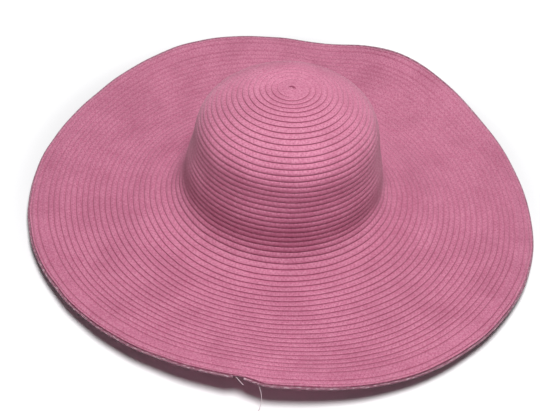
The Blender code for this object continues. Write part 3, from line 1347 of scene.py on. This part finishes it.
@dataclass
class Studio:
    """A white table, soft light from above and the camera."""

    tip: Vector
    lens: float = 71.5
    elevation: float = math.radians(44.72)
    roll: float = math.radians(4.58)
    distance: float = 1.080
    aim: Vector = field(default_factory=lambda: Vector((-0.0110, 0.0, -0.1525)))
    table_radius: float = 8.0
    table_corners: int = 96
    table_colour: Colour = (0.86, 0.86, 0.87, 1.0)
    table_roughness: float = 0.7
    # painted light: the table glows, none near the hat, and lightens the outer part of the shadow
    glow: float = 0.55             # of the table's far parts, which the photograph shows white
    glow_range: Range = Range(0.238, 0.350)
    lamp_place: Vector = field(default_factory=lambda: Vector((0.06, -0.35, 1.25)))
    lamp_size: float = 0.50
    lamp_energy: float = 19.8
    room: float = 0.07
    sensor_width: float = 36.0

    def build(self) -> None:
        """Set everything up."""
        bpy.context.scene.view_settings.view_transform = "Standard"
        self.table()
        self.lamp()
        self.walls()
        self.camera()

    def table(self) -> None:
        """Lay the plain pale surface."""
        bm = bmesh.new()
        bmesh.ops.create_circle(bm, cap_ends=True, segments=self.table_corners,
                                radius=self.table_radius)
        mesh = bpy.data.meshes.new("table")
        bm.to_mesh(mesh)
        bm.free()
        mesh.materials.append(self.table_finish())
        add_object("table", mesh)

    def table_finish(self) -> bpy.types.Material:
        """Make the table white, and brighter away from the hat with painted light, a glow that is
        none near it.

        Returns:
            The material.
        """
        graph = Graph("white_table")
        place = graph.output(graph.node("ShaderNodeTexCoord"), "Object")
        far = graph.output(graph.node("ShaderNodeVectorMath", {"operation": "LENGTH"}, {0: place}),
                           "Value")
        glow = graph.mix(graph.smooth(far, self.glow_range), BLACK, WHITE)
        for target, value in (("Base Color", self.table_colour), ("Roughness", self.table_roughness),
                              ("Emission Strength", self.glow), ("Emission Color", glow)):
            graph.feed(graph.shader.inputs[target], value)
        return graph.material

    def lamp(self) -> None:
        """Hang a wide lamp above the hat, turned to it."""
        light = bpy.data.lights.new("soft_box", "AREA")
        light.shape = "DISK"
        light.size = self.lamp_size
        light.energy = self.lamp_energy
        box = add_object("soft_box", light)
        box.location = self.lamp_place
        box.rotation_euler = self.lamp_place.to_track_quat("Z", "Y").to_euler()

    def walls(self) -> None:
        """Light the hat a little from all sides, as white walls do."""
        world = bpy.data.worlds.new("room")
        world.use_nodes = True
        background = world.node_tree.nodes["Background"]
        background.inputs["Color"].default_value = WHITE
        background.inputs["Strength"].default_value = self.room
        bpy.context.scene.world = world

    def camera(self) -> None:
        """Set the camera at the photograph's angle."""
        data = bpy.data.cameras.new("camera")
        data.sensor_width = self.sensor_width
        data.lens = self.lens
        camera = add_object("camera", data)
        back = Vector((0.0, -math.cos(self.elevation), math.sin(self.elevation)))
        camera.location = self.tip + self.aim + back * self.distance
        turn = Euler((0.5 * math.pi - self.elevation, 0.0, 0.0)).to_matrix()
        roll = Euler((0.0, 0.0, self.roll)).to_matrix()
        camera.rotation_euler = (turn @ roll).to_euler()
        bpy.context.scene.camera = camera


def report(piece: bpy.types.Object) -> None:
    """Log a finished piece."""
    triangles = sum(len(face.vertices) - 2 for face in piece.data.polygons)
    LOG.info("%s: %d triangles", piece.name, triangles)


def clear_scene() -> None:
    """Remove the objects that Blender starts with."""
    for thing in list(bpy.data.objects):
        bpy.data.objects.remove(thing)


def main() -> None:
    """Load the frame, dress it and set up the studio."""
    logging.basicConfig(level=logging.INFO, format="%(message)s")
    clear_scene()
    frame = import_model()
    mounts = {mount["name"]: mount for mount in frame["record"]["mounts"]}
    sizes = HatSizes()
    skin = Skin(sizes, Vector(mounts["tip_inside"]["pos_m"]))
    tip = Vector((skin.axis.x, skin.axis.y, skin.lift))
    curl = CurledEnd(tip)
    straw = StrawFinish("pink_straw", colour=(0.55, 0.155, 0.272, 1.0),
                        shade=(0.235, 0.025, 0.078, 1.0), light=(0.665, 0.245, 0.372, 1.0),
                        dust=(0.66, 0.36, 0.45, 1.0), curl=curl, row_pitch=sizes.row_pitch,
                        dusting=0.5).material()
    # The edge layer: frayed, dusty straw, darkened with painted shade where it lies turned down under
    # the brim's edge.
    frayed = StrawFinish("frayed_shaded_straw", colour=(0.34, 0.115, 0.185, 1.0),
                         shade=(0.14, 0.028, 0.060, 1.0), light=(0.44, 0.19, 0.27, 1.0),
                         dust=(0.66, 0.48, 0.54, 1.0), curl=curl, row_pitch=sizes.row_pitch,
                         dusting=0.8).material()
    fluff = StrawFinish("loose_thread", colour=(0.80, 0.66, 0.71, 1.0),
                        shade=(0.60, 0.42, 0.48, 1.0), light=(0.88, 0.80, 0.83, 1.0),
                        dust=(0.88, 0.84, 0.86, 1.0), curl=curl,
                        row_pitch=sizes.row_pitch).material()
    for part in (Crown(skin, "crown_rows", "crown", BRAID_SLOT, straw),
                 Brim(skin, "brim_rows", "brim", BRAID_SLOT, straw),
                 RimBraid(skin, "edge_layer", "rim_braid", EDGE_SLOT, frayed),
                 Thread(skin, "short_thread", fluff, azimuth=math.radians(-6.9), path=SHORT_THREAD),
                 Thread(skin, "long_thread", fluff, azimuth=math.radians(-2.2), path=LONG_THREAD)):
        report(part.build())
    Studio(tip).build()


if __name__ == "__main__":
    main()
